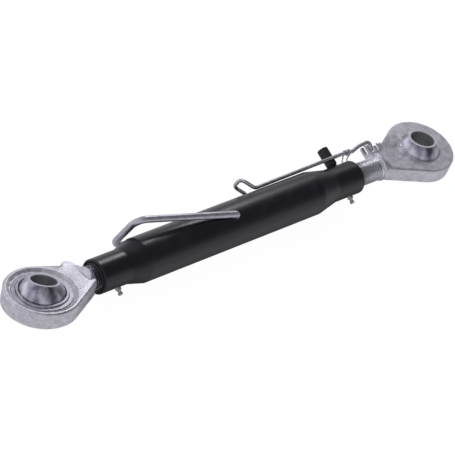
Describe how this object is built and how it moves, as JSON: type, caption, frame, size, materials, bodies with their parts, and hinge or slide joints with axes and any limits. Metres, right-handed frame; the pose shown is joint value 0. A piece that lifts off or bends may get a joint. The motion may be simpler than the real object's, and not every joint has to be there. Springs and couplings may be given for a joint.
{
  "type": "tractor top link",
  "caption": "Turnbuckle top link: threaded eye rods with swivel ball ends in a swaged tube that a bail handle turns and a wire latch locks.",
  "frame": {"origin": "centre of the left swivel ball's bore", "axes": "+X along the tube towards the right eye, +Z square to the left eye's face on its ring side"},
  "size_m": [0.7565, 0.1007, 0.0851],
  "materials": {
    "black_paint": "satin black paint over steel tube",
    "forged_zinc": "zinc-plated forging with machined faces",
    "ball_steel": "hardened and polished ball",
    "plated_wire": "bright zinc-plated wire and rod",
    "black_rubber": "matte moulded rubber",
    "spring_steel": "dull spring wire",
    "nipple_steel": "yellow-grey plated steel"
  },
  "bodies": {
    "tube": {"barrel_tube": "black_paint", "left_wiper": "black_rubber", "right_wiper": "black_rubber", "left_nipple_body": "nipple_steel", "right_nipple_body": "nipple_steel", "left_nipple_ball": "ball_steel", "right_nipple_ball": "ball_steel", "left_nipple_spring": "spring_steel", "right_nipple_spring": "spring_steel", "latch_pivot_ear": "black_paint", "guide_post": "nipple_steel", "post_sleeve": "black_rubber", "latch_spring": "spring_steel"},
    "left_rod": {"left_eye_rod": "forged_zinc", "left_retaining_ring": "forged_zinc"},
    "right_rod": {"right_eye_rod": "forged_zinc", "right_retaining_ring": "forged_zinc"},
    "left_ball": {"left_swivel_ball": "ball_steel"},
    "right_ball": {"right_swivel_ball": "ball_steel"},
    "bail": {"bail_handle": "plated_wire"},
    "latch": {"latch_bow": "plated_wire"}
  },
  "joints": [
    {"name": "right_rod_slide", "type": "slide", "parent": "tube", "child": "right_rod", "axis": [1, 0, 0], "range_m": [-0.005, 0.09]},
    {"name": "left_rod_slide", "type": "slide", "parent": "tube", "child": "left_rod", "axis": [-1, 0, 0], "range_m": [-0.005, 0.09]},
    {"name": "left_ball_tilt", "type": "hinge", "parent": "left_rod", "child": "left_ball", "pos_m": [0, 0, 0], "axis": [-0.7096, 0.7046, 0], "range_deg": [-34.5, 5.5]},
    {"name": "right_ball_tilt", "type": "hinge", "parent": "right_rod", "child": "right_ball", "pos_m": [0.6615, 0, 0], "axis": [-0.9744, 0.2205, 0.0445], "range_deg": [-27.6, 12.4]},
    {"name": "bail_swing", "type": "hinge", "parent": "tube", "child": "bail", "pos_m": [0.301, 0, 0], "axis": [0, 0.4848, -0.8746], "range_deg": [-1.5, 140]},
    {"name": "latch_lift", "type": "hinge", "parent": "tube", "child": "latch", "pos_m": [0.369, 0.03488, -0.00191], "axis": [0, -0.4617, 0.887], "range_deg": [0, 4], "stiffness_Nm_per_rad": 2, "springref_deg": -5.73, "deforming": ["latch_spring"]}
  ],
  "couplings": [
    {"joint": "left_rod_slide", "follows": "right_rod_slide", "ratio": 1}
  ]
}
